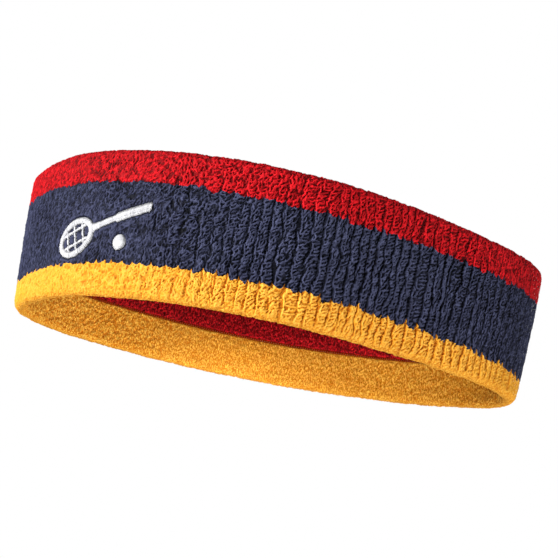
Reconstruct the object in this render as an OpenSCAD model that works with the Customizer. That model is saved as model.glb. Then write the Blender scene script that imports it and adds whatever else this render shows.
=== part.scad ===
// Sports headband: a terry sweatband knitted as a tube, folded double and closed
// by one seam on the inner face. +Z is up as worn, +X is the long axis of the
// oval opening, -Y is the side that carries the embroidered mark.
// The origin is the centre of the box around the band, at the lower rim.

/* [Oval] */
// Length of the oval along X, measured at the middle of the fabric
oval_length = 188; // [180:1:196]
// Width of the oval along Y, measured at the middle of the fabric
oval_width = 160; // [156:1:168]

/* [Band] */
// Height of the band
band_height = 50; // [40:1:60]
// Thickness of the folded band, from pile tip to pile tip
band_thickness = 6; // [5.6:0.1:7]
// Outward lean of the wall, in degrees, wider at the top
lean = 3.4; // [0:0.2:5]
// Depth of the flattened strip on which the lower fold rests
foot_flat = 0.25; // [0.15:0.05:0.4]

/* [Stripes] */
// Height of the line between the lower and the middle stripe, outer face
lower_stripe_top = 10.5; // [8:0.5:14]
// Height of the line between the middle and the upper stripe, outer face
upper_stripe_bottom = 38; // [34:0.5:42]

/* [Ground knit] */
// Thickness of one ply of the ground knit that holds the pile loops
ground_thickness = 0.9; // [0.8:0.05:1]
// Gap between the two plies of ground knit, for the back of the embroidery
ply_gap = 0.8; // [0.6:0.1:1]
// Thickness of one laid-in elastic thread
elastic_size = 0.5; // [0.3:0.05:0.5]
// Number of laid-in elastic threads in each ply
elastic_count = 8; // [5:1:10]

/* [Closing seam] */
// Height of the closing seam on the inner face
seam_height = 18; // [14:0.5:24]
// Width of the seam bead
seam_width = 1.6; // [1.2:0.1:2]

/* [Emblem] */
// Direction that the middle of the emblem faces, in degrees from +X
emblem_azimuth = -135.4; // [-150:0.2:-110]
// Height of the middle of the emblem
emblem_height = 23.2; // [22:0.2:27]
// Tilt of the racket's long axis, in degrees, grip end up
emblem_tilt = 19; // [0:1:24]
// Length of the racket's head
racket_head_length = 19; // [14:0.5:20]
// Width of the racket's head
racket_head_width = 13; // [10:0.5:14]
// Width of the stitched line around the head
racket_rim_width = 1.9; // [1.2:0.1:2.4]
// Length from the head to the end of the grip
racket_handle_length = 24; // [16:1:26]
// Width of the grip
racket_grip_width = 2.8; // [2:0.1:3.4]
// Diameter of the stitched ball
ball_diameter = 4.6; // [3:0.1:6]

/* [Hidden] */
$fn = 180;
eps = 0.01;

// The oval is four arcs that meet at a tangent: a blunt end, a tighter end and
// two long sides. The centres of the sides and of the tight end lie on a line
// that rises 3 for every 4 along, so every centre is a round number.
step = (oval_length - oval_width)/2;
blunt_end_radius = oval_width/2;
side_radius = blunt_end_radius + 3*step;
tight_end_radius = side_radius - 5*step;
blunt_x = -oval_length/2 + blunt_end_radius;
tight_x = blunt_x + 4*step;
side_y = 3*step;

// The wall's section is a leaning strip with a round fold at each rim.
fold_radius = band_thickness/2;
lower_fold_z = fold_radius - foot_flat;
upper_fold_z = band_height - fold_radius;
mid_z = (lower_fold_z + upper_fold_z)/2;
half_wall = (upper_fold_z - lower_fold_z)/2/cos(lean);
ground_out = ply_gap/2 + ground_thickness;
ground_in = ply_gap/2;
elastic_at = (ground_out + ground_in)/2;
elastic_clearance = 0.03;
pocket_at = ground_out + 0.7;
emblem_top = fold_radius - 0.15;
bobbin_in = ground_in - 0.25;
backing_in = bobbin_in - 0.25;

// Distance along the wall of a height above the lower rim.
function along(z) = (z - mid_z)/cos(lean);

// Sweeps a wall section around the oval: x is outward, y is up.
module around_oval() {
  // blunt end
  intersection() {
    translate([blunt_x, 0, 0]) rotate_extrude() translate([blunt_end_radius, 0]) children();
    sector([[0, 300], [-300, 300], [-300, -300], [0, -300]], blunt_x, 0);
  }
  // long sides
  intersection() {
    translate([blunt_x, -side_y, 0]) rotate_extrude() translate([side_radius, 0]) children();
    sector([[0, 0], [400, 300], [0, 300]], blunt_x, -side_y);
  }
  intersection() {
    translate([blunt_x, side_y, 0]) rotate_extrude() translate([side_radius, 0]) children();
    sector([[0, 0], [0, -300], [400, -300]], blunt_x, side_y);
  }
  // tight end
  intersection() {
    translate([tight_x, 0, 0]) rotate_extrude() translate([tight_end_radius, 0]) children();
    sector([[0, 0], [400, -300], [400, 300]], tight_x, 0);
  }
}

// The part of the plan that one arc covers, as an upright prism.
module sector(points, x, y) {
  translate([x, y, -20]) linear_extrude(120) polygon(points);
}

// Stands a section drawn along the wall at its place and lean.
module in_wall() {
  translate([0, mid_z]) rotate(-lean) children();
}

// Outline of the folded strip at a given half thickness.
module fold_outline(half) {
  square([2*half, 2*half_wall], center = true);
  translate([0, half_wall]) circle(half);
  translate([0, -half_wall]) circle(half);
}

// Section of all the pile, on both faces and around both folds.
module pile_section() {
  difference() {
    fold_outline(fold_radius);
    fold_outline(ground_out);
  }
}

// Section of one stretch of the wall between two heights, outer or inner face only.
module face_zone(side, low, high) {
  translate([side > 0 ? 0 : -20, along(low)]) square([20, along(high) - along(low)]);
}

// Section zone above or below a height, on both faces.
module rim_zone(low, high) {
  translate([-20, along(low)]) square([40, along(high) - along(low)]);
}

// Everything above the surface that the band rests on.
module above_floor() {
  translate([-30, 0]) square([60, 100]);
}

module stripe(name) {
  around_oval() intersection() {
    above_floor();
    in_wall() intersection() {
      pile_section();
      union() {
        if (name == "upper") {
          rim_zone(upper_stripe_bottom, band_height + 10);
          face_zone(-1, seam_height + seam_width/2, upper_stripe_bottom + 1);
        }
        if (name == "middle")
          face_zone(1, lower_stripe_top, upper_stripe_bottom);
        if (name == "lower") {
          rim_zone(-10, lower_stripe_top);
          face_zone(-1, lower_stripe_top - 1, seam_height - seam_width/2);
        }
      }
    }
  }
}

module red_terry() {
  color([0.72, 0.04, 0.08]) stripe("upper");
}

module navy_terry() {
  color([0.11, 0.12, 0.25]) difference() {
    stripe("middle");
    emblem_layer(pocket_at, fold_radius + 2, 0.08);
  }
}

module yellow_terry() {
  color([0.96, 0.66, 0.12]) stripe("lower");
}

// Two plies of ground knit, joined around both folds, with a channel for each elastic.
module ground_knit() {
  color([0.85, 0.83, 0.78]) around_oval() in_wall() difference() {
    fold_outline(ground_out);
    fold_outline(ground_in);
    elastic_places() square(elastic_size + 2*elastic_clearance, center = true);
  }
}

// Places a section at every laid-in elastic, in both plies.
module elastic_places() {
  pitch = 2*half_wall/elastic_count;
  for (side = [-1, 1], i = [0 : elastic_count - 1])
    translate([side*elastic_at, -half_wall + (i + 0.5)*pitch]) children();
}

module elastic_threads() {
  color([0.92, 0.92, 0.9]) around_oval() in_wall()
    elastic_places() square(elastic_size, center = true);
}

// A bead of thread on the inner face, between the two ends of the folded tube.
module closing_seam() {
  color([0.62, 0.2, 0.1]) around_oval() in_wall() translate([-ground_out, along(seam_height)]) {
    translate([-(seam_width/2 - 0.1), -seam_width/2]) square([seam_width/2 - 0.1, seam_width]);
    translate([-(seam_width/2 - 0.1), 0]) circle(seam_width/2);
  }
}

function ellipse_points(length, width, n) =
  [for (i = [0 : n - 1]) [length/2*cos(360*i/n), width/2*sin(360*i/n)]];

// A tennis racket and ball in outline, drawn flat. grow widens every line.
module emblem_outline(grow) {
  rotate(emblem_tilt) translate([-11.5, 0]) {
    // rim of the head
    difference() {
      polygon(ellipse_points(racket_head_length + 2*grow, racket_head_width + 2*grow, 48));
      polygon(ellipse_points(racket_head_length - 2*racket_rim_width - 2*grow,
                             racket_head_width - 2*racket_rim_width - 2*grow, 48));
    }
    // strings
    intersection() {
      polygon(ellipse_points(racket_head_length - 1, racket_head_width - 1, 48));
      union() {
        for (x = [-4, 0, 4]) translate([x - 0.4 - grow, -racket_head_width/2])
          square([0.8 + 2*grow, racket_head_width]);
        for (y = [-2, 2]) translate([-racket_head_length/2, y - 0.4 - grow])
          square([racket_head_length, 0.8 + 2*grow]);
      }
    }
    // shaft
    translate([racket_head_length/2 - 1 - grow, -0.9 - grow])
      square([racket_handle_length/2 + 1 + grow, 1.8 + 2*grow]);
    // grip
    translate([racket_head_length/2 + racket_handle_length*0.45 - grow, -racket_grip_width/2 - grow])
      square([racket_handle_length*0.55 + 2*grow, racket_grip_width + 2*grow]);
  }
  // ball
  translate([10.5, -5.2]) circle(ball_diameter/2 + grow);
}

// Places a flat drawing on the wall at the emblem and pushes it through the wall.
module through_wall_at_emblem() {
  translate([blunt_x, 0, emblem_height]) rotate([0, 0, emblem_azimuth + 90])
    translate([0, -blunt_end_radius + 12, 0]) rotate([90, 0, 0]) linear_extrude(24) children();
}

// One layer of the emblem, between two depths in the wall.
module emblem_layer(from, to, grow) {
  intersection() {
    translate([blunt_x, 0, 0]) rotate([0, 0, emblem_azimuth - 30]) rotate_extrude(angle = 60)
      translate([blunt_end_radius, 0]) in_wall()
      translate([from, -half_wall]) square([to - from, 2*half_wall]);
    through_wall_at_emblem() emblem_outline(grow);
  }
}

module emblem_stitching() {
  color([0.95, 0.95, 0.95]) emblem_layer(pocket_at, emblem_top, 0);
}

module emblem_bobbin_thread() {
  color([0.9, 0.9, 0.92]) emblem_layer(bobbin_in, ground_in, 0);
}

// Stabiliser left behind the stitches, trimmed to a patch.
module emblem_backing() {
  color([0.98, 0.98, 0.96]) intersection() {
    translate([blunt_x, 0, 0]) rotate([0, 0, emblem_azimuth - 35]) rotate_extrude(angle = 70)
      translate([blunt_end_radius, 0]) in_wall()
      translate([backing_in, -half_wall]) square([bobbin_in - backing_in, 2*half_wall]);
    through_wall_at_emblem() rotate(emblem_tilt/2) {
      square([44, 16], center = true);
      square([40, 20], center = true);
      for (x = [-20, 20], y = [-8, 8]) translate([x, y]) circle(2);
    }
  }
}

red_terry();
navy_terry();
yellow_terry();
ground_knit();
elastic_threads();
closing_seam();
emblem_stitching();
emblem_bobbin_thread();
emblem_backing();
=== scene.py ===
import math

import bpy
import numpy as np
from mathutils import Matrix, Vector


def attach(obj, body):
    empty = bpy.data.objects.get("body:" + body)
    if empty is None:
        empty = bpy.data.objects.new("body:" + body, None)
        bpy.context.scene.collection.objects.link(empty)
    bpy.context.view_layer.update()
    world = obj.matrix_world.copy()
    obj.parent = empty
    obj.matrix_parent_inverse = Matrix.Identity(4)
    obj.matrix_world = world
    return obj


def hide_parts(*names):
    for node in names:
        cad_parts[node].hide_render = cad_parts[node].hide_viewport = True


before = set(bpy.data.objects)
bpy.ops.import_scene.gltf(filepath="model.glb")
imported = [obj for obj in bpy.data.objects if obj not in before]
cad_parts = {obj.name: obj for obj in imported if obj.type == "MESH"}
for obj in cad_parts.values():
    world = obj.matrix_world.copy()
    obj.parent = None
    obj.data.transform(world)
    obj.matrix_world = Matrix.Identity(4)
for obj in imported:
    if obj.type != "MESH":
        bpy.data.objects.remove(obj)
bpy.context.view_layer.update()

rng = np.random.default_rng(41)
TAU = 2 * math.pi

# ---------------------------------------------------------------- plan curve
# The middle of the fabric, seen from above, in millimetres: an ellipse with a
# few slow harmonics, because a knitted band on a form is never a true oval.
HALF_L, HALF_W = 91.75, 79.7774
HARM = {2: (0.0044, 0.0235), 3: (0.0249, 0.0260), 4: (0.0176, -0.0124), 5: (0.0020, 0.0058)}
TURN, SHIFT = 0.157, (3.276, 0.454)  # turns the curve's own axes to the row's axes
HEIGHT = 50.0


def to_row(x, y):
    """From the curve's own axes to the row's, in millimetres."""
    x, y = x - SHIFT[0], y - SHIFT[1]
    c, s = math.cos(TURN), math.sin(TURN)
    return x * c + y * s, -x * s + y * c


def turn_vec(v):
    c, s = math.cos(TURN), math.sin(TURN)
    return np.array([v[0] * c + v[1] * s, -v[0] * s + v[1] * c, v[2]])


def _plan_table(n=40001):
    th = np.linspace(math.pi / 2, math.pi / 2 + TAU, n)
    m = 1 + sum(a * np.cos(k * th) + b * np.sin(k * th) for k, (a, b) in HARM.items())
    x, y = to_row(HALF_L * np.cos(th) * m, HALF_W * np.sin(th) * m)
    s = np.concatenate([[0], np.cumsum(np.hypot(np.diff(x), np.diff(y)))])
    tx, ty = np.gradient(x, s), np.gradient(y, s)
    ln = np.hypot(tx, ty)
    return s, x, y, ty / ln, -tx / ln, th


_S, _X, _Y, _NX, _NY, _TH = _plan_table()
PERIM = float(_S[-1])  # about 544.6 mm


def plan(s):
    """Middle of the fabric, its outward normal and its angle, at s mm from the back."""
    s = np.mod(s, PERIM)
    return tuple(np.interp(s, _S, a) for a in (_X, _Y, _NX, _NY, _TH))


# ------------------------------------------------------------- wall section
# t runs along the section from the closing seam: down the inner face, round the
# lower fold, up the outer face, round the upper fold and down to the seam.
HB = 2.35  # half thickness at the foot of the pile
HG = 1.32  # half thickness of the two plies of ground knit
Z_LOW, Z_TOP = 2.85, 47.35  # centres of the folds
Z_SEAM = 17.8
L_FOLD = math.pi * (HB + 0.4)
L_IN_LOW = Z_SEAM - Z_LOW
L_OUT = Z_TOP - Z_LOW
L_IN_TOP = Z_TOP - Z_SEAM
T1 = L_IN_LOW
T2 = T1 + L_FOLD
T3 = T2 + L_OUT
T4 = T3 + L_FOLD
T_END = T4 + L_IN_TOP
LEAN, BOW = 0.0593, 0.25


def t_outer(z):
    return T2 + (z - Z_LOW)


def section(t):
    """Unit normal and base point of the section at t: p is outward, z is up."""
    t = np.asarray(t, float)
    a_low = math.pi + (t - T1) / L_FOLD * math.pi
    a_top = (t - T3) / L_FOLD * math.pi
    conds = [t < T1, t < T2, t < T3, t < T4]
    npv = np.select(conds, [-1 + 0 * t, np.cos(a_low), 1 + 0 * t, np.cos(a_top)], -1 + 0 * t)
    nzv = np.select(conds, [0 * t, np.sin(a_low), 0 * t, np.sin(a_top)], 0 * t)
    zc = np.select(conds, [Z_SEAM - t, Z_LOW + 0 * t, Z_LOW + (t - T2), Z_TOP + 0 * t], Z_TOP - (t - T4))
    return npv, nzv, zc


def place(s, t, h):
    """A point h mm above the foot of the pile, at s and t, in metres."""
    x, y, nx, ny, th = plan(s)
    npv, nzv, zc = section(t)
    p, z = npv * (HB + h), zc + nzv * (HB + h)
    lift = 0.35 * np.sin(2 * th + 0.6) + 0.2 * np.sin(5 * th + 2.1)
    z = z + lift * np.clip((z - 20) / 30, 0, 1) * 0.6
    p = p + LEAN * (z - 25) + BOW * (1 - ((z - 25) / 25) ** 2)
    z = np.maximum(z, 0.0)
    return np.stack([x + nx * p, y + ny * p, z], -1) * 0.001


def in_wall(s, z, u):
    """A point u mm outward of the middle of the fabric, in metres."""
    x, y, nx, ny, _ = plan(s)
    p = u + LEAN * (z - 25) + BOW * (1 - ((z - 25) / 25) ** 2)
    return np.stack([x + nx * p, y + ny * p, z + 0 * p], -1) * 0.001


# ------------------------------------------------------- emblem in the plane
# A racket and a ball, drawn in millimetres around the emblem's own middle.
E_S, E_Z, E_TILT = 208.9, 23.4, math.radians(19)
HEAD = (-11.5, 0.0, 9.5, 6.5)  # centre and half axes, before the tilt
RIM_W, SHAFT_W, GRIP_W = 2.1, 1.9, 2.9
SHAFT = (-2.4, 9.0)
GRIP = (8.6, 22.0)
BALL = (10.5, -5.4, 2.5)


def tilt(x, y):
    c, s = math.cos(E_TILT), math.sin(E_TILT)
    return x * c - y * s, x * s + y * c


def untilt(x, y):
    c, s = math.cos(E_TILT), math.sin(E_TILT)
    return x * c + y * s, -x * s + y * c


def emblem_distance(x, y):
    """About how far a point in the emblem's plane is outside the stitches, in mm."""
    u, v = untilt(x, y)
    cx, cy, a, b = HEAD
    q = np.hypot((u - cx) / (a - RIM_W / 2), (v - cy) / (b - RIM_W / 2))
    g = np.hypot((u - cx) / (a - RIM_W / 2) ** 2, (v - cy) / (b - RIM_W / 2) ** 2)
    rim = np.abs(q - 1) * q / np.maximum(g, 1e-6) - RIM_W / 2
    inside = np.where(q < 1, 0.0, 9.0)

    def bar(x0, x1, w):
        return np.hypot(np.maximum(np.maximum(x0 - u, u - x1), 0), np.maximum(np.abs(v) - w / 2, 0)) - 0.01

    strings = np.full_like(u, 9.0)
    for k in (-4.2, 0.0, 4.2):
        strings = np.minimum(strings, np.abs(u - cx - k) - 0.42 + inside)
    for k in (-2.3, 2.3):
        strings = np.minimum(strings, np.abs(v - cy - k) - 0.42 + inside)
    ball = np.hypot(x - BALL[0], y - BALL[1]) - BALL[2]
    return np.minimum.reduce([rim, strings, bar(*SHAFT, SHAFT_W), bar(*GRIP, GRIP_W), ball])


# ------------------------------------------------------------- the pile maps
# One map holds the height of the pile over the whole section. It is made by
# pressing thousands of short, bent pieces of yarn into it, rib by rib.
NS = 3888
DS = PERIM / NS
NT = int(math.ceil(T_END / 0.14)) + 2
DT = 0.14


def spectrum(grid):
    return np.fft.rfft2(grid)


def gauss(sig_s, sig_t):
    fs, ft = np.fft.fftfreq(NS, DS)[:, None], np.fft.rfftfreq(NT, DT)[None, :]
    return np.exp(-2 * (math.pi**2) * ((fs * sig_s) ** 2 + (ft * sig_t) ** 2))


def soft_noise(sig_s, sig_t, seed):
    """Smooth noise of unit spread over the map; sigmas in mm; s wraps around."""
    g = np.random.default_rng(seed).standard_normal((NS, NT))
    out = np.fft.irfft2(spectrum(g) * gauss(sig_s, sig_t), s=(NS, NT))
    return out / out.std()


def blur(grid, sig):
    return np.fft.irfft2(spectrum(grid) * gauss(sig, sig), s=(NS, NT))


def sample(grid, s, t):
    """Bilinear value of a map at s and t."""
    a, b = np.mod(s, PERIM) / DS, np.clip(np.asarray(t, float) / DT, 0, NT - 1.001)
    i, j = np.floor(a).astype(int), np.floor(b).astype(int)
    fa, fb = a - i, b - j
    i0, i1 = i % NS, (i + 1) % NS
    return (grid[i0, j] * (1 - fa) + grid[i1, j] * fa) * (1 - fb) + (grid[i0, j + 1] * (1 - fa) + grid[i1, j + 1] * fa) * fb


# How strongly the pile gathers into upright ribs, around the band.
_KN = [0, 60, 110, 145, 175, 200, 222, 240, 256, 272, 290, 308, 335, 350, 368, 388, 412, 440, 480, PERIM]
_KA = [0.80, 0.7, 0.6, 0.4, 0.16, 0.08, 0.16, 0.26, 0.38, 0.56, 0.84, 1.0, 0.96, 0.66, 0.36, 0.20, 0.26, 0.55, 0.80, 0.80]
LO, HI = T1 + 0.25 * L_FOLD, T3 + 0.75 * L_FOLD


def step01(x):
    x = np.clip(x, 0, 1)
    return x * x * (3 - 2 * x)


def outside(t):
    """1 on the outer face, less over the folds, 0 on the inner face."""
    t = np.asarray(t, float)
    face = step01((t - (T2 - 3.5)) / 4.5) * step01(((T3 + 3.5) - t) / 4.5)
    fold = step01((t - LO + 1.0) / 3.0) * step01((HI + 1.0 - t) / 3.0)
    return 0.30 * fold + 0.70 * face


def ribbed(s, t=None):
    a = np.interp(np.mod(s, PERIM), _KN, _KA)
    if t is None:
        return a
    low = np.interp(np.mod(s, PERIM), [0, 300, 335, 362, 395, 440, PERIM], [0, 0, 0, 0.42, 0.28, 0, 0])
    a = a + low * step01((t_outer(12.5) - t) / 3.5)
    return a * outside(t) * (1 - 0.55 * step01((t - t_outer(37.0)) / 3.5))


N_RIB = 146
_w = np.clip(1 + 0.22 * rng.standard_normal(N_RIB), 0.62, 1.5)
_w = _w * np.interp(np.arange(N_RIB) / N_RIB * PERIM, [0, 318, 345, 400, 425, PERIM], [1.0, 1.0, 1.24, 1.24, 1.0, 1.0])
RIB_EDGE = np.concatenate([[0], np.cumsum(_w)]) / _w.sum() * PERIM
RIB_W = np.diff(RIB_EDGE)
warp = 0.46 * soft_noise(4.5, 7.0, 11) + 0.40 * soft_noise(1.4, 1.6, 12)
closing = soft_noise(0.9, 1.3, 14)
sway = soft_noise(3.0, 4.0, 13)  # how far the loops lean, from place to place


def rib_phase(s, t):
    """Which rib a point is on, and how far across it, from 0 to 1."""
    r = np.interp(np.mod(s + sample(warp, s, t), PERIM), RIB_EDGE, np.arange(N_RIB + 1))
    k = np.minimum(np.floor(r).astype(int), N_RIB - 1)
    return k, r - k


RIDGE = 0.62
STEEP = 1.6  # how much taller than wide a piece of yarn stands


def ground_height(s, t):
    """Height of the middle of the top layer of yarn."""
    _, ph = rib_phase(s, t)
    a = ribbed(s, t)
    x = np.abs(2 * ph - 1)
    shape = 1 - x**2.2
    cut = 0.50 * np.clip(1 - 0.50 * sample(closing, s, t), 0.1, 1.9)
    return -0.06 - 0.28 * a + RIDGE * a * shape - cut * a * np.clip((x - 0.74) / 0.26, 0, 1)


tone = np.full((NS, NT), 0.5)


def strands(s0, t0, ang, length, bend, z, arch, r, c, n=9):
    """Curved pieces of yarn: each is a row of balls along a bent line."""
    u = np.linspace(-0.5, 0.5, n)[None, :]
    along = length[:, None] * u
    off = bend[:, None] * (4 * u * u - 0.5)
    ca, sa = np.cos(ang)[:, None], np.sin(ang)[:, None]
    s = s0[:, None] + along * ca - off * sa
    t = t0[:, None] + along * sa + off * ca
    zz = z[:, None] - arch[:, None] * (4 * u * u) + ground_height(s, t)
    for a, b in zip(_cols, (s, t, zz, r[:, None] + 0 * s, c[:, None] + 0 * s)):
        a.append(b.ravel())


_cols = [[], [], [], [], []]

# Loops in ribs, on the outer face and over the folds: a rope up the left of
# each rib, then short slanting loops, one above the other.
PITCH = 1.18
for col, (fx, fa, ln, zz, rr) in enumerate(
    [(-0.33, 88, 1.60, 0.20, 0.29), (-0.08, 47, 1.50, 0.14, 0.27), (0.15, 42, 1.45, 0.10, 0.27), (0.35, 60, 1.15, 0.08, 0.24)]
):
    n_c = int((HI - LO) / PITCH)
    k, j = np.meshgrid(np.arange(N_RIB), np.arange(n_c), indexing="ij")
    k, j = k.ravel(), j.ravel()
    g = lambda sd: sd * rng.standard_normal(len(k))
    t = LO + (j + 0.5 + 0.3 * col + g(0.14)) * (HI - LO) / n_c
    s_mid = (RIB_EDGE[k] + RIB_EDGE[k + 1]) / 2
    s = s_mid + (fx + g(0.045)) * RIB_W[k]
    s = s - sample(warp, s, t)
    A = ribbed(s, t)
    keep = rng.random(len(k)) < np.clip(A * 2.4 + 0.05, 0, 0.96)
    lean = sample(sway, s, t)
    ang = np.radians(fa + g(13) + 12 * lean * (col > 0) + (1 - A) * g(24))
    z = zz + g(0.10) * (0.6 + 0.4 * A) - 0.06 * (1 - A)
    q = np.interp(s, [240, 270, 325, 365], [0.86, 1.0, 1.0, 0.84])
    stuff = [s, t, ang, q * ln * (1 + g(0.14)), 0.10 + g(0.14), z, 0.13 + 0 * z, q * rr * (0.88 + 0.12 * A) + g(0.015), rng.random(len(k))]
    strands(*[a[keep] for a in stuff])

# Finer, less ordered loops, below the ribs and alone where the ribs fade out.
area_mm = PERIM * (HI - LO)
for dens, dz in ((1 / (0.60 * 0.60), -0.40), (1 / (0.80 * 0.80), 0.04)):
    n = int(area_mm * dens)
    s, t = rng.random(n) * PERIM, LO + rng.random(n) * (HI - LO)
    A = ribbed(s, t)
    g = lambda sd: sd * rng.standard_normal(n)
    keep = rng.random(n) < (1.0 if dz < -0.1 else np.clip(1.0 - 2.0 * A, 0.05, 1))
    ang = np.radians(62 + 14 * sample(sway, s, t) + g(34))
    stuff = [s, t, ang, 1.1 + g(0.22), 0.08 + g(0.14), dz + g(0.07), 0.10 + 0 * s, 0.215 + g(0.018), rng.random(n)]
    strands(*[a[keep] for a in stuff], n=7)

# Short, dense loops on the inner face.
for lo, hi in ((-0.4, LO + 0.9), (HI - 0.9, T_END + 0.4)):
    for dz, gap in ((-0.20, 0.58), (0.10, 0.92)):
        n = int(PERIM * (hi - lo) / gap**2)
        s, t = rng.random(n) * PERIM, lo + rng.random(n) * (hi - lo)
        g = lambda sd: sd * rng.standard_normal(n)
        strands(s, t, np.radians(82 + g(26)), 1.10 + g(0.2), g(0.12), dz - 0.08 + g(0.11), 0.10 + 0 * s, 0.25 + g(0.02), rng.random(n), n=6)

S_, T_, Z_, R_, C_ = (np.concatenate(a) for a in _cols)
gs, gt = np.meshgrid(np.arange(NS) * DS, np.arange(NT) * DT, indexing="ij")
pile = ground_height(gs, gt) - 0.34 - 0.12 * outside(gt)
ok = (T_ > -0.3) & (T_ < T_END + 0.3)
S_, T_, Z_, R_, C_ = (a[ok] for a in (S_, T_, Z_, R_, C_))
Ii, Jj = np.round(S_ / DS).astype(int), np.round(T_ / DT).astype(int)
flat, flat_tone = pile.ravel(), tone.ravel()
for second in (False, True):
    for di in range(-2, 3):
        for dj in range(-2, 3):
            i, j = Ii + di, Jj + dj
            d2 = (i * DS - S_) ** 2 + (j * DT - T_) ** 2
            m = (d2 < R_ * R_) & (j >= 0) & (j < NT)
            cell = (i[m] % NS) * NT + j[m]
            v = Z_[m] + STEEP * np.sqrt(R_[m] ** 2 - d2[m])
            if not second:
                np.maximum.at(flat, cell, v)
            else:
                top = v >= flat[cell] - 1e-9
                flat_tone[cell[top]] = C_[m][top]
pile, tone = flat.reshape(NS, NT), flat_tone.reshape(NS, NT)

# Slow change of pile height, as loops lie this way and that.
pile = pile + 0.06 * soft_noise(3.0, 3.0, 21)
pile = pile + (1 - outside(gt)) * 0.15 * soft_noise(0.24, 0.38, 23)

# The pile is shorter and closer near the emblem's end of the band.
calm = np.interp(np.arange(NS) * DS, [0, 105, 150, 222, 262, 352, 382, 430, 470, PERIM], [1.0, 1.0, 0.62, 0.66, 1.0, 1.0, 0.62, 0.62, 1.0, 1.0])[:, None]
pile = pile - (1 - calm) * outside(gt) * (pile - blur(pile, 0.8))

# The pile lies flatter where the fabric turns over.
turn = np.exp(-(((gt - (T1 + T2) / 2) / 3.4) ** 2)) + np.exp(-(((gt - (T3 + T4) / 2) / 3.4) ** 2))
pile = pile - 0.55 * turn * (pile - blur(pile, 1.2))

# The closing seam pulls the pile down.
seam_pull = np.clip(1 - np.minimum(gt, T_END - gt) / 0.9, 0, 1)
pile = pile * (1 - seam_pull) + seam_pull * -0.6

# Stitches press the pile down under the emblem.
near = (np.abs(gs - E_S) < 30) & (np.abs(gt - t_outer(E_Z)) < 16)
d = emblem_distance(gs[near] - E_S, gt[near] - t_outer(E_Z))
press = step01(1 - (d - 0.1) / 0.7)
pile[near] = pile[near] * (1 - press) + press * -0.35

# Painted shade and highlight map: low in the grooves and hollows between loops, high on loops standing above their
# neighbours. It is taken from the pile's local relief and only colours the surface.
b1, b2 = blur(pile, 0.42), blur(pile, 1.7)
pile_s = blur(pile, 0.07)
painted_shade_and_highlight = np.clip(0.66 + 1.5 * (pile_s - b1) + 1.15 * (b1 - b2), 0, 1)
tone = blur(tone, 0.05)
tone = 0.5 + (tone - 0.5) * (0.35 + 0.65 * calm)


# ------------------------------------------------------ stripe boundaries
def stripe_line(s, z0, slow, seed, teeth):
    """Height of the line between two colours: each rib's loops bulge below it."""
    r = np.random.default_rng(seed)
    amp = teeth * np.clip(0.75 + 0.35 * r.standard_normal(N_RIB), 0.25, 1.7)
    shift = 0.28 * r.standard_normal(N_RIB)
    z = z0 + slow
    k, ph = rib_phase(s, t_outer(z))
    A = np.interp(np.mod(s, PERIM), [0, 200, 222, 256, 290, 330, 395, 430, PERIM], [0.8, 0.08, 0.20, 0.66, 1.0, 1.0, 0.75, 0.65, 0.8])
    ph = np.clip(ph + 0.10 * np.sin(TAU * ph), 0, 1)
    bulge = np.abs(2 * ph - 1) ** 3.0
    line = z + amp[k] * (bulge - 0.33) * (0.25 + 0.95 * A)
    line += shift[k] * (1 - bulge) * (0.5 + 0.5 * A)
    for pitch, size in ((1.25, 0.30), (0.55, 0.17)):
        n = int(PERIM / pitch)
        fine = np.interp(np.mod(s, PERIM), np.arange(n + 1) * PERIM / n, np.append(v := r.standard_normal(n), v[0]))
        line += size * (0.75 + 0.35 * A) * fine
    return line


theta = lambda s: plan(s)[4]
low_line = lambda s: stripe_line(s, 8.75, -2.708 * np.cos(theta(s) - 1.579) - 0.398 * np.cos(theta(s) + 0.196), 5, 2.75)
top_line = lambda s: stripe_line(s, 38.4, -0.398 * np.cos(theta(s) + 0.196), 6, 1.9)

# ---------------------------------------------------------------- meshes
# Columns stand closer together where the ribs are strongest.
_gap = np.interp(_S, [0, 195, 212, 395, 412, PERIM], [0.25, 0.25, 0.19, 0.19, 0.25, 0.25])
_cum = np.concatenate([[0], np.cumsum(np.diff(_S) / _gap[:-1])])
N_COL = int(_cum[-1] * (1.0))
ROW = 1.0
col_s = np.interp(np.arange(N_COL) / N_COL * _cum[-1], _cum, _S)


def build(name, verts, quads, attrs=None, smooth=True):
    me = bpy.data.meshes.new(name)
    verts, quads = np.asarray(verts, np.float32).reshape(-1, 3), np.asarray(quads, np.int32)
    w = quads.shape[1]
    me.vertices.add(len(verts))
    me.vertices.foreach_set("co", verts.ravel())
    me.loops.add(quads.size)
    me.loops.foreach_set("vertex_index", quads.ravel())
    me.polygons.add(len(quads))
    me.polygons.foreach_set("loop_start", np.arange(0, quads.size, w, dtype=np.int32))
    me.polygons.foreach_set("use_smooth", np.full(len(quads), smooth))
    for k, v in (attrs or {}).items():
        me.attributes.new(k, "FLOAT", "POINT").data.foreach_set("value", np.asarray(v, np.float32).ravel())
    me.update(calc_edges=True)
    me.validate(clean_customdata=False)
    ob = bpy.data.objects.new(name, me)
    bpy.context.scene.collection.objects.link(ob)
    return ob


def ring_quads(rows, cols, closed_rows):
    """Quads over a grid whose columns wrap around; rows wrap too if closed."""
    r = np.arange(rows if closed_rows else rows - 1)
    c = np.arange(cols)
    R, C = np.meshgrid(r, c, indexing="ij")
    R2, C2 = (R + 1) % rows, (C + 1) % cols
    return np.stack([R * cols + C, R * cols + C2, R2 * cols + C2, R2 * cols + C], -1).reshape(-1, 4)


def steps(a, b, step):
    return np.linspace(a, b, max(2, int(round(abs(b - a) / (step * ROW))) + 1))


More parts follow.
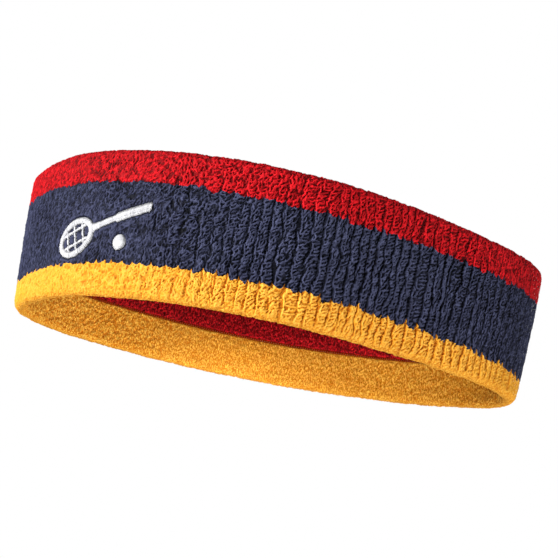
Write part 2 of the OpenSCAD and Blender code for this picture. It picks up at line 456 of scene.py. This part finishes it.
def pile_piece(name, t_rows, low=None, high=None):
    """A closed shell of pile: bumpy outside, smooth against the ground knit."""
    t = np.repeat(np.asarray(t_rows)[:, None], N_COL, 1)
    for line, at in ((low, t_rows[0]), (high, t_rows[-1])):
        if line is not None:
            dev = t_outer(line(col_s)) - at
            t = t + dev[None, :] * np.clip(1 - np.abs(np.asarray(t_rows) - at) / 4.0, 0, 1)[:, None]
    s = np.repeat(col_s[None, :], len(t_rows), 0)
    h = sample(pile_s, s, t)
    front = place(s, t, h)
    tb = t[np.round(np.linspace(len(t_rows) - 1, 0, 14)).astype(int)]
    sb = np.repeat(col_s[None, :], len(tb), 0)
    back = place(sb, tb, np.full_like(tb, HG - HB))
    v = np.concatenate([front.reshape(-1, 3), back.reshape(-1, 3)])
    q = ring_quads(len(t_rows) + len(tb), N_COL, True)
    # Painted shade and highlight per vertex, stored as the "pile" attribute; the hidden back side is given 0.1, which
    # paints it in the dark shade colour.
    painted_light_vals = np.concatenate([sample(painted_shade_and_highlight, s, t).ravel(), np.full(tb.size, 0.1)])
    tt = np.concatenate([sample(tone, s, t).ravel(), np.full(tb.size, 0.5)])
    ii = np.concatenate([(1 - outside(t)).ravel(), np.zeros(tb.size)])
    return build(name, v, q, {"pile": painted_light_vals, "tone": tt, "inner": ii})


T_LOWLINE, T_TOPLINE = t_outer(11.0), t_outer(38.4)
FINE, MID = 0.20, 0.28


def rows(*parts):
    out = [np.array([parts[0][0]])]
    for a, b, st in parts:
        out.append(steps(a, b, st)[1:])
    return np.concatenate(out)


yellow = pile_piece("yellow_pile", rows((0.22, T1, MID), (T1, T2, 0.26), (T2, T_LOWLINE, FINE)), high=low_line)
navy = pile_piece("navy_pile", rows((T_LOWLINE, T_TOPLINE, FINE)), low=low_line, high=top_line)
red = pile_piece("red_pile", rows((T_TOPLINE, T3, FINE), (T3, T4, 0.26), (T4, T_END - 0.22, MID)), low=top_line)

# ------------------------------------------------------ threads and sleeves


def tubes(name, paths, radius, sides=6, squash=None, closed=False, attrs=None):
    """Tubes along many paths of the same length: paths is (n, k, 3), in metres."""
    paths = np.asarray(paths, float)
    n, k, _ = paths.shape
    tan = np.roll(paths, -1, 1) - np.roll(paths, 1, 1)
    if not closed:
        tan[:, 0], tan[:, -1] = paths[:, 1] - paths[:, 0], paths[:, -1] - paths[:, -2]
    tan /= np.maximum(np.linalg.norm(tan, axis=2, keepdims=True), 1e-12)
    up = np.zeros_like(tan)
    up[..., 2] = 1
    flat_up = np.abs(tan[..., 2]) > 0.9
    up[flat_up] = (1, 0, 0)
    side = np.cross(tan, up)
    side /= np.maximum(np.linalg.norm(side, axis=2, keepdims=True), 1e-12)
    up = np.cross(side, tan)
    a = np.arange(sides) * TAU / sides
    rad = np.broadcast_to(np.asarray(radius, float), (n, k))[..., None, None]
    ring = side[:, :, None] * np.cos(a)[None, None, :, None] + up[:, :, None] * np.sin(a)[None, None, :, None]
    v = paths[:, :, None] + ring * rad
    kk = np.arange(k if closed else k - 1)
    P, K, A = np.meshgrid(np.arange(n), kk, np.arange(sides), indexing="ij")
    K2, A2 = (K + 1) % k, (A + 1) % sides
    idx = lambda p, q, r: (p * k + q) * sides + r
    quads = np.stack([idx(P, K, A), idx(P, K, A2), idx(P, K2, A2), idx(P, K2, A)], -1).reshape(-1, 4)
    verts = v.reshape(-1, 3)
    if not closed and sides % 2 == 0:  # caps, as strips of quads
        caps = []
        for p in range(n):
            for q, flip in ((0, True), (k - 1, False)):
                ids = [idx(p, q, r) for r in range(sides)]
                for m in range(sides // 2 - 1):
                    c = [ids[m], ids[m + 1], ids[sides - 2 - m], ids[sides - 1 - m]]
                    caps.append(c[::-1] if flip else c)
        quads = np.concatenate([quads, np.array(caps, int)])
    return build(name, verts, quads, attrs)


# The ground knit: one sheet, folded double, whose two edges meet under the seam.
gn, gp = 360, []
tg = rows((0.15, T1, 3.0), (T1, T2, 0.7), (T2, T3, 3.0), (T3, T4, 0.7), (T4, T_END - 0.15, 3.0))
sg, tgm = np.meshgrid(np.arange(gn) * PERIM / gn, tg)
ground = build("ground_knit_sleeve", place(sg, tgm, np.full_like(sg, HG - 0.12 - HB)).reshape(-1, 3), ring_quads(len(tg), gn, False))

# Laid-in elastic threads, inside both plies.
en, paths = 400, []
se = np.arange(en) * PERIM / en
for side in (-1, 1):
    for i in range(8):
        z = Z_LOW + (i + 0.5) * (Z_TOP - Z_LOW) / 8
        paths.append(in_wall(se, z + 0 * se, side * 0.85 + 0 * se))
elastics = tubes("laid_in_elastics", paths, 0.00025, 6, closed=True)

# The closing seam: two threads that chain around each other in the groove.
m = 270 * 8
ss = np.arange(m) * PERIM / m
w = TAU * 270 * ss / PERIM
seam_paths = []
for ph in (0.0, math.pi):
    z = Z_SEAM + 0.38 * np.sin(w + ph)
    u = -(HB - 0.22 + 0.12 * np.cos(2 * w + ph))
    seam_paths.append(in_wall(ss, z, u))
seam = tubes("closing_seam_thread", seam_paths, 0.00022, 6, closed=True)


# The embroidery: satin stitches laid side by side over the pressed pile.
def on_emblem(x, y, u):
    return in_wall(E_S + x, E_Z + y, u)


E_LOW, E_UP = 2.12, 2.95
stitch, stitch_r, stitch_c = [], [], []
er = np.random.default_rng(77)


def satin(x0, y0, x1, y1, lift=0.34, r=0.215):
    """One stitch from edge to edge, arched over its padding. Ends dive into the pile."""
    k = np.linspace(0, 1, 7)
    x, y = x0 + (x1 - x0) * k, y0 + (y1 - y0) * k
    ln = math.hypot(x1 - x0, y1 - y0)
    arch = 1 - np.abs(2 * k - 1) ** 3.0
    u = E_LOW + 0.18 + (lift + 0.035 * ln) * arch + 0.03 * er.standard_normal()
    u[0] -= 0.25
    u[-1] -= 0.25
    stitch.append(on_emblem(x, y, u))
    stitch_r.append(np.full(7, r * 0.001 * (1 + 0.06 * er.standard_normal())))
    stitch_c.append(er.random())


def jig(sd=0.07):
    return sd * er.standard_normal()


cx, cy, ha, hb = HEAD
ring_n = 122
for i in range(ring_n):  # the rim of the head, stitched across
    a = TAU * i / ring_n
    ux, uy = math.cos(a) / ha, math.sin(a) / hb
    ln = math.hypot(ux, uy)
    ux, uy = ux / ln, uy / ln
    px, py = cx + ha * math.cos(a), cy + hb * math.sin(a)
    sk = 0.16  # the stitches slant a little
    x0, y0 = px - RIM_W * ux - sk * uy + jig(), py - RIM_W * uy + sk * ux + jig()
    x1, y1 = px + sk * uy + jig(), py - sk * ux + jig()
    satin(*tilt(x0, y0), *tilt(x1, y1))
for k in (-4.2, 0.0, 4.2):  # strings, as short running stitches, sewn twice
    hgt = (hb - RIM_W) * math.sqrt(max(0.0, 1 - (k / (ha - RIM_W)) ** 2))
    for off in (-0.17, 0.17):
        nseg = max(2, int(round(2 * hgt / 2.4)))
        for j in range(nseg):
            y0, y1 = -hgt + 2 * hgt * j / nseg, -hgt + 2 * hgt * (j + 1) / nseg
            satin(*tilt(cx + k + off, cy + y0), *tilt(cx + k + off, cy + y1), lift=0.12, r=0.22)
for k in (-2.3, 2.3):
    hgt = (ha - RIM_W) * math.sqrt(max(0.0, 1 - (k / (hb - RIM_W)) ** 2))
    for off in (-0.17, 0.17):
        nseg = max(2, int(round(2 * hgt / 2.4)))
        for j in range(nseg):
            x0, x1 = -hgt + 2 * hgt * j / nseg, -hgt + 2 * hgt * (j + 1) / nseg
            satin(*tilt(cx + x0, cy + k + off), *tilt(cx + x1, cy + k + off), lift=0.2, r=0.22)
x = SHAFT[0]
while x < SHAFT[1]:  # shaft, widening a little at the throat
    wd = SHAFT_W * (1 + 0.9 * math.exp(-((x - SHAFT[0]) / 1.6)))
    satin(*tilt(x - 0.35, -wd / 2 + jig(0.05)), *tilt(x + 0.35, wd / 2 + jig(0.05)))
    x += 0.38
x = GRIP[0]
while x < GRIP[1]:  # grip, rounded at its end
    e = min(1.0, math.sqrt(max(0.02, (GRIP[1] + 0.3 - x) / 1.2)))
    satin(*tilt(x - 0.5, -GRIP_W / 2 * e + jig(0.05)), *tilt(x + 0.5, GRIP_W / 2 * e + jig(0.05)))
    x += 0.38
y = -BALL[2] + 0.1
while y < BALL[2]:  # ball
    wd = math.sqrt(max(0.05, BALL[2] ** 2 - y * y))
    satin(BALL[0] - wd + jig(0.04), BALL[1] + y - 0.2, BALL[0] + wd + jig(0.04), BALL[1] + y + 0.2)
    y += 0.38
emblem = tubes(
    "emblem_satin_threads", stitch, np.array(stitch_r), 6,
    attrs={"tone": np.repeat(stitch_c, 7 * 6)},
)

# Padding under the stitches, so that no pile shows between them.
gx = np.arange(-24, 24.01, 0.35)
gy = np.arange(-15, 15.01, 0.35)
cells = []
vid, pv = {}, []
lo_u, hi_u = E_LOW - 0.5, E_LOW + 0.22


def corner(i, j, top):
    key = (i, j, top)
    if key not in vid:
        vid[key] = len(pv)
        pv.append((gx[i] - 0.175, gy[j] - 0.175, hi_u if top else lo_u))
    return vid[key]


DX, DY = np.meshgrid(gx, gy, indexing="ij")
body = emblem_distance(DX, DY) < -0.12
for i in range(len(gx) - 1):
    for j in range(len(gy) - 1):
        if not body[i, j]:
            continue
        c = [(i, j), (i + 1, j), (i + 1, j + 1), (i, j + 1)]
        cells.append([corner(a, b, True) for a, b in c])
        cells.append([corner(a, b, False) for a, b in reversed(c)])
        for (a, b), (di, dj) in (((0, 1), (0, -1)), ((1, 2), (1, 0)), ((2, 3), (0, 1)), ((3, 0), (-1, 0))):
            if not body[i + di, j + dj]:
                cells.append([corner(*c[b], True), corner(*c[a], True), corner(*c[a], False), corner(*c[b], False)])
pv = np.array(pv)
padding = build("emblem_underlay", on_emblem(pv[:, 0], pv[:, 1], pv[:, 2]), cells, {"tone": np.full(len(pv), 0.5)})


# Bobbin thread and backing, between the two plies behind the emblem.
def patch(name, half_x, half_y, u0, u1, turn, power=4.0, nx=40, ny=20, rough=0.0):
    r = np.random.default_rng(3)
    a, b = np.linspace(-1, 1, nx), np.linspace(-1, 1, ny)
    A, B = np.meshgrid(a, b, indexing="ij")
    x = half_x * A * (1 - 0.12 * np.abs(B) ** power)
    y = half_y * B * (1 - 0.12 * np.abs(A) ** power)
    c, s = math.cos(turn), math.sin(turn)
    x, y = x * c - y * s, x * s + y * c
    bump = rough * r.standard_normal(A.shape)
    f, g = on_emblem(x, y, u1 + bump), on_emblem(x, y, u0 + 0 * x)
    v = np.concatenate([f.reshape(-1, 3), g.reshape(-1, 3)])
    n, q = nx * ny, []
    for i in range(nx - 1):
        for j in range(ny - 1):
            k = [i * ny + j, (i + 1) * ny + j, (i + 1) * ny + j + 1, i * ny + j + 1]
            q += [k, [m + n for m in reversed(k)]]
    edge = [(i, 0) for i in range(nx)] + [(nx - 1, j) for j in range(1, ny)] + [(i, ny - 1) for i in range(nx - 2, -1, -1)] + [(0, j) for j in range(ny - 2, 0, -1)]
    for (a0, b0), (a1, b1) in zip(edge, edge[1:] + edge[:1]):
        p, r_ = a0 * ny + b0, a1 * ny + b1
        q.append([r_, p, p + n, r_ + n])
    return build(name, v, q)


backing = patch("emblem_backing_patch", 22, 10, -0.1, 0.14, E_TILT / 2)
bob = []
for p in stitch:
    q = p.mean(0)
    d = p[-1] - p[0]
    nrm = np.array([q[0], q[1], 0.0])
    bob.append(np.stack([q - d * 0.16, q, q + d * 0.16]))
bob = np.array(bob)
# move the short bobbin stitches inward, to the back of the outer ply
def inward(points, dist):
    x, y = points[..., 0] * 1000, points[..., 1] * 1000
    i = np.argmin((_X[None, ::8] - x.ravel()[:, None]) ** 2 + (_Y[None, ::8] - y.ravel()[:, None]) ** 2, 1) * 8
    out = points.reshape(-1, 3).copy()
    out[:, 0] -= _NX[i] * dist
    out[:, 1] -= _NY[i] * dist
    return out.reshape(points.shape)


bobbin = tubes("emblem_bobbin_stitches", inward(bob, 0.00235), 0.00011, 4)

# -------------------------------------------------------------- materials


def nodes_of(name):
    m = bpy.data.materials.new(name)
    m.use_nodes = True
    nt = m.node_tree
    nt.nodes.clear()
    out = nt.nodes.new("ShaderNodeOutputMaterial")
    bsdf = nt.nodes.new("ShaderNodeBsdfPrincipled")
    nt.links.new(bsdf.outputs[0], out.inputs[0])
    return m, nt, bsdf, out


def noise(nt, scale, detail=2.0, rough=0.5, upright=1.0):
    co = nt.nodes.new("ShaderNodeTexCoord")
    mp = nt.nodes.new("ShaderNodeMapping")
    mp.inputs["Scale"].default_value = (1.0, 1.0, upright)
    nt.links.new(co.outputs["Object"], mp.inputs["Vector"])
    n = nt.nodes.new("ShaderNodeTexNoise")
    n.inputs["Scale"].default_value = scale
    n.inputs["Detail"].default_value = detail
    n.inputs["Roughness"].default_value = rough
    nt.links.new(mp.outputs[0], n.inputs["Vector"])
    return n.outputs["Fac"]


def attr(nt, name):
    a = nt.nodes.new("ShaderNodeAttribute")
    a.attribute_name = name
    return a.outputs["Fac"]


def remap(nt, val, a, b, c, d):
    r = nt.nodes.new("ShaderNodeMapRange")
    nt.links.new(val, r.inputs["Value"])
    for k, v in zip(("From Min", "From Max", "To Min", "To Max"), (a, b, c, d)):
        r.inputs[k].default_value = v
    return r.outputs["Result"]


def mix(nt, fac, a, b, kind="MIX"):
    m = nt.nodes.new("ShaderNodeMix")
    m.data_type = "RGBA"
    m.blend_type = kind
    for k, v in ((0, fac), (6, a), (7, b)):
        if isinstance(v, bpy.types.NodeSocket):
            nt.links.new(v, m.inputs[k])
        else:
            m.inputs[k].default_value = v if k == 0 else (*v, 1.0)
    return m.outputs[2]


def bump(nt, height, strength, distance, under=None):
    b = nt.nodes.new("ShaderNodeBump")
    if under is not None:
        nt.links.new(under, b.inputs["Normal"])
    b.inputs["Strength"].default_value = strength
    b.inputs["Distance"].default_value = distance
    nt.links.new(height, b.inputs["Height"])
    return b.outputs[0]


# The first colour is the painted shade in the pile's crevices and the third the painted highlight on raised loops; both
# also give the random darker and lighter tone of the yarn.
def terry(name, shade_and_dark_tone, base, highlight_and_light_tone, sheen, lo=0.20, hi=0.66, inner_dark=0.62, speckle=0.36):
    m, nt, bsdf, _ = nodes_of(name)
    p = attr(nt, "pile")
    # Painted crevice shade: where the pile attribute is low (grooves and hollows between loops) the colour goes from
    # the base towards the dark shade colour, between lo and hi.
    col = mix(nt, remap(nt, p, lo, hi, 0, 1), shade_and_dark_tone, base)
    # Painted highlight: loops standing above their neighbours are lightened towards the highlight colour.
    col = mix(nt, remap(nt, p, 0.72, 1.0, 0, 0.6), col, highlight_and_light_tone)
    col = mix(nt, remap(nt, attr(nt, "tone"), 0.30, 1.0, 0.0, speckle), col, shade_and_dark_tone)
    col = mix(nt, remap(nt, attr(nt, "tone"), 0.0, 0.42, 0.45, 0.0), col, highlight_and_light_tone)
    col = mix(nt, remap(nt, noise(nt, 55.0, 3.0), 0.35, 0.7, 0.0, 0.16), col, highlight_and_light_tone)
    yarn = noise(nt, 1350.0, 1.5, 0.5, 0.55)
    # Painted shade in the hollows of the fine yarn bump: where the bump noise is low the colour is darkened.
    col = mix(nt, remap(nt, yarn, 0.34, 0.52, 0.34, 0.0), col, shade_and_dark_tone)
    col = mix(nt, remap(nt, noise(nt, 2600.0, 2.0), 0.3, 0.75, 0.0, 0.20), col, shade_and_dark_tone)
    # the short inner pile shows the ends of its loops
    grain = noise(nt, 2250.0, 1.0, 0.5, 0.5)
    for lo_g, hi_g, a, b, into in ((0.42, 0.58, inner_dark, 0.0, shade_and_dark_tone), (0.50, 0.64, 0.0, 0.65, highlight_and_light_tone)):
        part = nt.nodes.new("ShaderNodeMath")
        part.operation = "MULTIPLY"
        nt.links.new(attr(nt, "inner"), part.inputs[0])
        nt.links.new(remap(nt, grain, lo_g, hi_g, a, b), part.inputs[1])
        col = mix(nt, part.outputs[0], col, into)
    nt.links.new(col, bsdf.inputs["Base Color"])
    nt.links.new(remap(nt, noise(nt, 900.0), 0.3, 0.7, 0.60, 0.80), bsdf.inputs["Roughness"])
    bsdf.inputs["Sheen Weight"].default_value = 0.02
    bsdf.inputs["Sheen Roughness"].default_value = 0.45
    bsdf.inputs["Sheen Tint"].default_value = (*sheen, 1.0)
    bsdf.inputs["Specular IOR Level"].default_value = 0.085
    loops = bump(nt, yarn, 0.8, 0.00045)
    nt.links.new(bump(nt, noise(nt, 4200.0, 3.0, 0.6), 0.35, 0.00012, loops), bsdf.inputs["Normal"])
    return m


def thread(name, a, b, rough, scale=1800.0, spec=0.5):
    m, nt, bsdf, _ = nodes_of(name)
    col = mix(nt, remap(nt, noise(nt, scale, 2.0), 0.3, 0.7, 0, 1), a, b)
    nt.links.new(col, bsdf.inputs["Base Color"])
    nt.links.new(remap(nt, noise(nt, scale * 0.6), 0.3, 0.7, rough - 0.07, rough + 0.07), bsdf.inputs["Roughness"])
    bsdf.inputs["Specular IOR Level"].default_value = spec
    nt.links.new(bump(nt, noise(nt, scale * 2.2, 2.0), 0.3, 0.00006), bsdf.inputs["Normal"])
    return m


# Each terry gets: painted crevice-shade colour (also its dark random tone), base colour, painted highlight colour for
# raised loops (also its light random tone), sheen tint, then the shade remap range lo and hi, inner grain darkening and
# speckle.
m_red = terry("red cotton terry", (0.06, 0.0003, 0.0008), (0.57, 0.0022, 0.0065), (0.84, 0.014, 0.022), (1.0, 0.5, 0.5), 0.38, 0.78, 0.85, 0.60)
m_navy = terry("navy cotton terry", (0.0006, 0.0007, 0.0018), (0.0205, 0.0235, 0.059), (0.092, 0.101, 0.182), (0.7, 0.75, 1.0), 0.47, 0.82, 0.62, 0.52)
m_yellow = terry("yellow cotton terry", (0.56, 0.165, 0.005), (0.91, 0.432, 0.029), (0.96, 0.55, 0.095), (1.0, 0.85, 0.6), 0.24, 0.70, 1.0, 0.26)
m_ground = thread("ground knit nylon", (0.62, 0.60, 0.55), (0.72, 0.70, 0.65), 0.7)
m_elastic = thread("covered elastic", (0.80, 0.80, 0.77), (0.88, 0.88, 0.85), 0.55)
m_seam = thread("seam thread", (0.24, 0.02, 0.003), (0.34, 0.04, 0.006), 0.85, spec=0.04)
m_bobbin = thread("bobbin thread", (0.74, 0.74, 0.76), (0.82, 0.82, 0.84), 0.7)
m_backing = thread("embroidery backing", (0.86, 0.86, 0.83), (0.95, 0.95, 0.92), 0.9, 700.0)

m_emblem, nt, bsdf, _ = nodes_of("white rayon embroidery")
col = mix(nt, remap(nt, attr(nt, "tone"), 0, 1, 0, 1), (0.52, 0.52, 0.54), (0.74, 0.74, 0.75))
col = mix(nt, remap(nt, noise(nt, 1500.0, 2.0), 0.3, 0.7, 0, 0.3), col, (0.50, 0.50, 0.53))
nt.links.new(col, bsdf.inputs["Base Color"])
nt.links.new(remap(nt, noise(nt, 800.0), 0.3, 0.7, 0.42, 0.58), bsdf.inputs["Roughness"])
bsdf.inputs["Specular IOR Level"].default_value = 0.45
bsdf.inputs["Sheen Weight"].default_value = 0.1
nt.links.new(bump(nt, noise(nt, 5200.0, 2.0), 0.25, 0.00005), bsdf.inputs["Normal"])

for ob, ma, slot in (
    (red, m_red, "red_terry"), (navy, m_navy, "navy_terry"), (yellow, m_yellow, "yellow_terry"),
    (ground, m_ground, "ground_yarn"), (elastics, m_elastic, "elastic"), (seam, m_seam, "seam_thread"),
    (emblem, m_emblem, "emblem_thread"), (padding, m_emblem, "emblem_thread"),
    (bobbin, m_bobbin, "bobbin_thread"), (backing, m_backing, "backing"),
):
    ob.data.materials.append(ma)
    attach(ob, "root")
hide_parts("red_terry")
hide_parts("navy_terry")
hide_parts("yellow_terry")
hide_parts("ground_knit")
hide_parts("elastic_threads")
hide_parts("closing_seam")
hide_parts("emblem_stitching")
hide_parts("emblem_bobbin_thread")
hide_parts("emblem_backing")

# ------------------------------------------------------------------- camera
EL, ROLL = 0.19486691969360373, 0.1888990193150467
TX, TY, TZ = -3.46629435, 4.67941703, 560.0
FOCAL = 1491.5546


def view_rows():
    m = np.array([[1, 0, 0], [0, 0, -1], [0, 1, 0]], float)
    ce, se = math.cos(EL), math.sin(EL)
    cr, sr = math.cos(ROLL), math.sin(ROLL)
    return np.array([[cr, -sr, 0], [sr, cr, 0], [0, 0, 1]]) @ np.array([[1, 0, 0], [0, ce, se], [0, -se, ce]]) @ m


V = view_rows()
eye = np.array([0, 0, 25.0]) - V.T @ np.array([TX, TY, TZ])
ex, ey = to_row(eye[0], eye[1])
right, down, ahead = (turn_vec(v) for v in V)
cam_data = bpy.data.cameras.new("camera")
cam_data.sensor_width = 36.0
cam_data.lens = 36.0 * FOCAL / 558.0
cam_data.clip_start, cam_data.clip_end = 0.01, 50.0
cam = bpy.data.objects.new("camera", cam_data)
bpy.context.scene.collection.objects.link(cam)
cam.matrix_world = Matrix(
    [
        [right[0], -down[0], -ahead[0], ex * 0.001],
        [right[1], -down[1], -ahead[1], ey * 0.001],
        [right[2], -down[2], -ahead[2], eye[2] * 0.001],
        [0, 0, 0, 1],
    ]
)
bpy.context.scene.camera = cam

# --------------------------------------------------------- floor and lights
fl = build("floor", np.array([(-3, -3, -0.0004), (3, -3, -0.0004), (3, 3, -0.0004), (-3, 3, -0.0004)]), [[0, 1, 2, 3]])
m_floor, nt, bsdf, out = nodes_of("pale floor")
col = mix(nt, remap(nt, noise(nt, 1.3, 2.0), 0.3, 0.7, 0, 1), (0.40, 0.40, 0.40), (0.43, 0.43, 0.43))
nt.links.new(col, bsdf.inputs["Base Color"])
bsdf.inputs["Roughness"].default_value = 0.9
bsdf.inputs["Specular IOR Level"].default_value = 0.1
bsdf.inputs["Emission Color"].default_value = (1, 1, 1, 1)
bsdf.inputs["Emission Strength"].default_value = 0.48
geo = nt.nodes.new("ShaderNodeNewGeometry")
clear = nt.nodes.new("ShaderNodeBsdfTransparent")
mx = nt.nodes.new("ShaderNodeMixShader")
nt.links.new(geo.outputs["Backfacing"], mx.inputs[0])
nt.links.new(bsdf.outputs[0], mx.inputs[1])
nt.links.new(clear.outputs[0], mx.inputs[2])
nt.links.new(mx.outputs[0], out.inputs[0])
fl.data.materials.append(m_floor)
fl.visible_diffuse = False
fl.visible_glossy = False
fl.visible_transmission = False
fl.visible_shadow = False


def area(name, pos, size, watts, colour=(1, 1, 1), at=(0, 0, 25)):
    """A soft light, placed in the curve's own axes, in millimetres."""
    d = bpy.data.lights.new(name, "AREA")
    d.shape = "DISK"
    d.size = size
    d.energy = watts
    d.color = colour
    o = bpy.data.objects.new(name, d)
    bpy.context.scene.collection.objects.link(o)
    x, y = to_row(pos[0], pos[1])
    ax, ay = to_row(at[0], at[1])
    p, q = Vector((x, y, pos[2])) * 0.001, Vector((ax, ay, at[2])) * 0.001
    o.location = p
    o.rotation_euler = (q - p).to_track_quat("-Z", "Y").to_euler()
    return o


area("key", (-930, -440, 85), 0.14, 14.7)
d = bpy.data.lights.new("key_right", "SPOT")
d.energy, d.spot_size, d.spot_blend, d.shadow_soft_size = 28.0, math.radians(13), 1.0, 0.05
o = bpy.data.objects.new("key_right", d)
bpy.context.scene.collection.objects.link(o)
p0 = Vector((*to_row(-440, -800), 110)) * 0.001
p1 = Vector((*to_row(78, -58), 25)) * 0.001
o.location = p0
o.rotation_euler = (p1 - p0).to_track_quat("-Z", "Y").to_euler()
area("fill", (970, -320, -120), 0.5, 5.0)
area("under", (30, -300, -640), 0.35, 3.6)
area("back", (420, 900, 260), 0.5, 7.0)
lit_inside = bpy.data.collections.new("lit inside")
for ob in (yellow, red, navy, seam, ground, bobbin, backing):
    lit_inside.objects.link(ob)
for name, pos, at, watts, spread in (
    ("inside_right", (-52, -34, 5.0), (46, 64, -20), 0.0195, 64),
    ("inside_left", (40, -45, 5.0), (-60, 54, -18), 0.0105, 70),
    ("inside_middle", (-38, -44, 5.0), (-6, 88, -30), 0.015, 42),
):
    inside = area(name, pos, 0.04, watts, (0.96, 1.0, 0.88), at)
    inside.data.shape = "RECTANGLE"
    inside.data.size_y = 0.006
    inside.data.spread = math.radians(spread)
    inside.visible_camera = False
    inside.light_linking.receiver_collection = lit_inside

world = bpy.data.worlds.new("studio")
bpy.context.scene.world = world
world.use_nodes = True
wn = world.node_tree
wn.nodes.clear()
wo = wn.nodes.new("ShaderNodeOutputWorld")
b_see = wn.nodes.new("ShaderNodeBackground")
b_lit = wn.nodes.new("ShaderNodeBackground")
b_see.inputs[0].default_value, b_see.inputs[1].default_value = (1, 1, 1, 1), 1.0
b_lit.inputs[0].default_value, b_lit.inputs[1].default_value = (1, 1, 1, 1), 0.24
lp = wn.nodes.new("ShaderNodeLightPath")
wm = wn.nodes.new("ShaderNodeMixShader")
wn.links.new(lp.outputs["Is Camera Ray"], wm.inputs[0])
wn.links.new(b_lit.outputs[0], wm.inputs[1])
wn.links.new(b_see.outputs[0], wm.inputs[2])
wn.links.new(wm.outputs[0], wo.inputs[0])
bpy.context.scene.view_settings.view_transform = "Standard"
bpy.context.scene.view_settings.look = "None"

bpy.context.view_layer.update()
